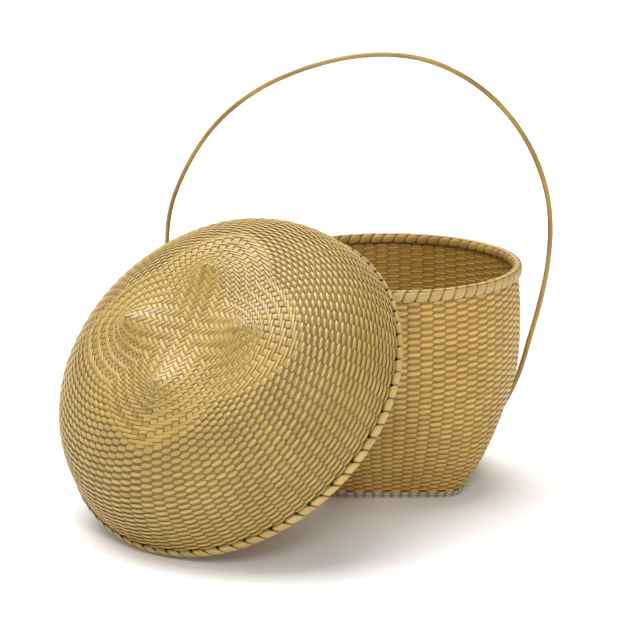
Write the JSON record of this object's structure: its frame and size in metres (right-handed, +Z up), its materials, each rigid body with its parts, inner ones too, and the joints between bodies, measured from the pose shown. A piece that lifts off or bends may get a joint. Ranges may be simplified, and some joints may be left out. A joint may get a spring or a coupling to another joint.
{
  "type": "handled basket",
  "caption": "Woven splint market basket with square foot, round rim, tall cane bow handle and a wide peaked dome lid set down against it.",
  "frame": {"origin": "centre of the underside of the square base", "axes": "+Z up, +X to the right seen from the front, +Y away to the back; the handle's bow spans X, and the lid leans at the front left"},
  "size_m": [0.5122, 0.4577, 0.4586],
  "materials": {
    "wall_splint": "satin dry splint, golden tan",
    "lashing_splint": "satin dry splint, light tan",
    "hoop_splint": "satin split wood",
    "handle_cane": "smooth cane, brown",
    "lid_splint": "satin dry splint, straw"
  },
  "bodies": {
    "basket": {"base_panel": "wall_splint", "base_edge_twining": "wall_splint", "basket_wall": "wall_splint", "rim_outer_hoop": "hoop_splint", "rim_inner_hoop": "hoop_splint", "rim_lashing": "lashing_splint", "handle_bow": "handle_cane", "handle_tie_right_upper": "lashing_splint", "handle_tie_right_lower": "lashing_splint", "handle_tie_left_upper": "lashing_splint", "handle_tie_left_lower": "lashing_splint"},
    "lid": {"lid_crown": "lid_splint", "lid_side": "lid_splint", "lid_outer_hoop": "hoop_splint", "lid_inner_hoop": "hoop_splint", "lid_rim_lashing": "lashing_splint"}
  },
  "joints": [
    {"name": "lid_lift", "type": "slide", "parent": "basket", "child": "lid", "axis": [-0.4373, -0.5803, 0.6871], "range_m": [0, 0.35]}
  ]
}
